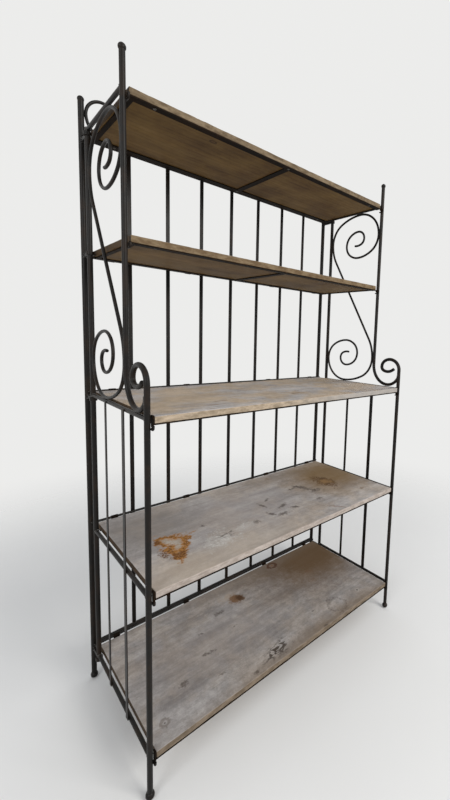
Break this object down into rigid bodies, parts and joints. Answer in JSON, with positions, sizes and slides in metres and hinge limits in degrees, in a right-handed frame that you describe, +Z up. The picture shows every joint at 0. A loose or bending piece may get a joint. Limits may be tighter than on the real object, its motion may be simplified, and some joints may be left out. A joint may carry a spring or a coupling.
{
  "type": "folding shelving rack",
  "caption": "Folding wrought-iron rack: a back frame with scrolled crest, hinged scrollwork side frames, and weathered wood shelves that tip up on pivot rods.",
  "frame": {"origin": "On the floor, under the middle of the rack's overall box.", "axes": "+X to the right across the width, +Y to the back, +Z up; the front faces -Y."},
  "size_m": [1.036, 0.4948, 1.8407],
  "materials": {
    "bronzed_iron": "satin bronze-black paint over round iron bar, a little worn at the edges",
    "weathered_pine": "weathered grey-brown pine board, waxed, with knots and old stains",
    "screw_steel": "dull plain steel screws"
  },
  "bodies": {
    "back_frame": {"back_post_left": "bronzed_iron", "back_post_right": "bronzed_iron", "back_finial_left": "bronzed_iron", "back_finial_right": "bronzed_iron", "back_foot_left": "bronzed_iron", "back_foot_right": "bronzed_iron", "back_top_rail": "bronzed_iron", "back_bottom_rail": "bronzed_iron", "back_strips": "bronzed_iron", "pivot_rod_1": "bronzed_iron", "pivot_rod_2": "bronzed_iron", "pivot_rod_3": "bronzed_iron", "pivot_rod_4": "bronzed_iron", "pivot_rod_5": "bronzed_iron", "crest_scroll_left": "bronzed_iron", "crest_scroll_right": "bronzed_iron", "hinge_rings_left": "bronzed_iron", "hinge_rings_right": "bronzed_iron"},
    "left_side": {"rear_post_left": "bronzed_iron", "upper_front_post_left": "bronzed_iron", "lower_front_post_left": "bronzed_iron", "front_finial_left": "bronzed_iron", "front_foot_left": "bronzed_iron", "top_rail_left": "bronzed_iron", "mid_rail_left": "bronzed_iron", "low_rail_left": "bronzed_iron", "bottom_rail_left": "bronzed_iron", "rear_strip_left": "bronzed_iron", "front_strip_left": "bronzed_iron", "side_scroll_left": "bronzed_iron", "hooks_left": "bronzed_iron"},
    "right_side": {"rear_post_right": "bronzed_iron", "upper_front_post_right": "bronzed_iron", "lower_front_post_right": "bronzed_iron", "front_finial_right": "bronzed_iron", "front_foot_right": "bronzed_iron", "top_rail_right": "bronzed_iron", "mid_rail_right": "bronzed_iron", "low_rail_right": "bronzed_iron", "bottom_rail_right": "bronzed_iron", "rear_strip_right": "bronzed_iron", "front_strip_right": "bronzed_iron", "side_scroll_right": "bronzed_iron", "hooks_right": "bronzed_iron"},
    "shelf_1": {"shelf_1_board": "weathered_pine", "shelf_1_frame": "bronzed_iron", "shelf_1_screws": "screw_steel"},
    "shelf_2": {"shelf_2_board": "weathered_pine", "shelf_2_frame": "bronzed_iron", "shelf_2_screws": "screw_steel"},
    "shelf_3": {"shelf_3_board": "weathered_pine", "shelf_3_frame": "bronzed_iron", "shelf_3_screws": "screw_steel"},
    "shelf_4": {"shelf_4_board": "weathered_pine", "shelf_4_frame": "bronzed_iron", "shelf_4_screws": "screw_steel"},
    "shelf_5": {"shelf_5_board": "weathered_pine", "shelf_5_frame": "bronzed_iron", "shelf_5_screws": "screw_steel"}
  },
  "joints": [
    {"name": "left_side_swing", "type": "hinge", "parent": "back_frame", "child": "left_side", "pos_m": [-0.507, 0.1764, 0.9], "axis": [0, 0, -1], "range_deg": [0, 90]},
    {"name": "right_side_swing", "type": "hinge", "parent": "back_frame", "child": "right_side", "pos_m": [0.507, 0.1764, 0.9], "axis": [0, 0, 1], "range_deg": [0, 90]},
    {"name": "shelf_1_tip_up", "type": "hinge", "parent": "back_frame", "child": "shelf_1", "pos_m": [0, 0.2242, 1.724], "axis": [-1, 0, 0], "range_deg": [0, 88]},
    {"name": "shelf_2_tip_up", "type": "hinge", "parent": "back_frame", "child": "shelf_2", "pos_m": [0, 0.2242, 1.392], "axis": [-1, 0, 0], "range_deg": [0, 70]},
    {"name": "shelf_3_tip_up", "type": "hinge", "parent": "back_frame", "child": "shelf_3", "pos_m": [0, 0.2242, 0.9725], "axis": [-1, 0, 0], "range_deg": [0, 58]},
    {"name": "shelf_4_tip_up", "type": "hinge", "parent": "back_frame", "child": "shelf_4", "pos_m": [0, 0.2242, 0.548], "axis": [-1, 0, 0], "range_deg": [0, 58]},
    {"name": "shelf_5_tip_up", "type": "hinge", "parent": "back_frame", "child": "shelf_5", "pos_m": [0, 0.2242, 0.1225], "axis": [-1, 0, 0], "range_deg": [0, 58]}
  ]
}
